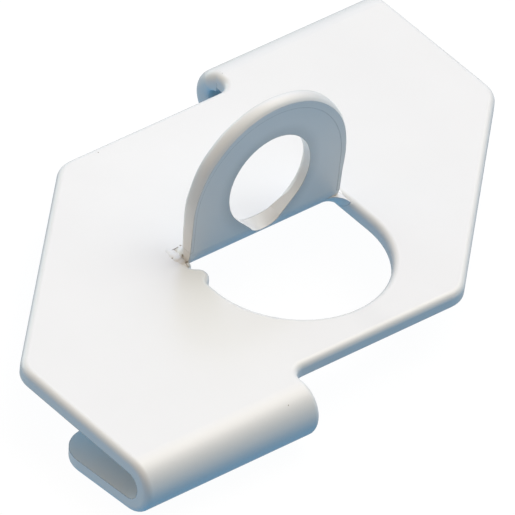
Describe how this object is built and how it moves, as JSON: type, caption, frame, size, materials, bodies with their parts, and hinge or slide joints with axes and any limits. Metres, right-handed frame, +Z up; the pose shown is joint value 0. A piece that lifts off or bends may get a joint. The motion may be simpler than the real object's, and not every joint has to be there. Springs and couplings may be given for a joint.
{
  "type": "swivel clip",
  "caption": "Folded sheet-steel clip that is twisted onto a suspended ceiling's rail, with two rolled hooks for the rail's edges and an upright eye tab to hang things from.",
  "frame": {"origin": "middle of the clip's plan, on the surface that the two lips rest on", "axes": "+X along the fold lines of the hooks and of the eye tab, +Z up through the plate towards the eye, +Y through the eye, from the window towards the tab's fold"},
  "size_m": [0.0384, 0.027, 0.0125],
  "materials": {
    "white_powder_coat": "glossy white powder coat with a slight orange peel, on folded steel sheet"
  },
  "bodies": {
    "root": {"clip": "white_powder_coat"}
  },
  "joints": []
}
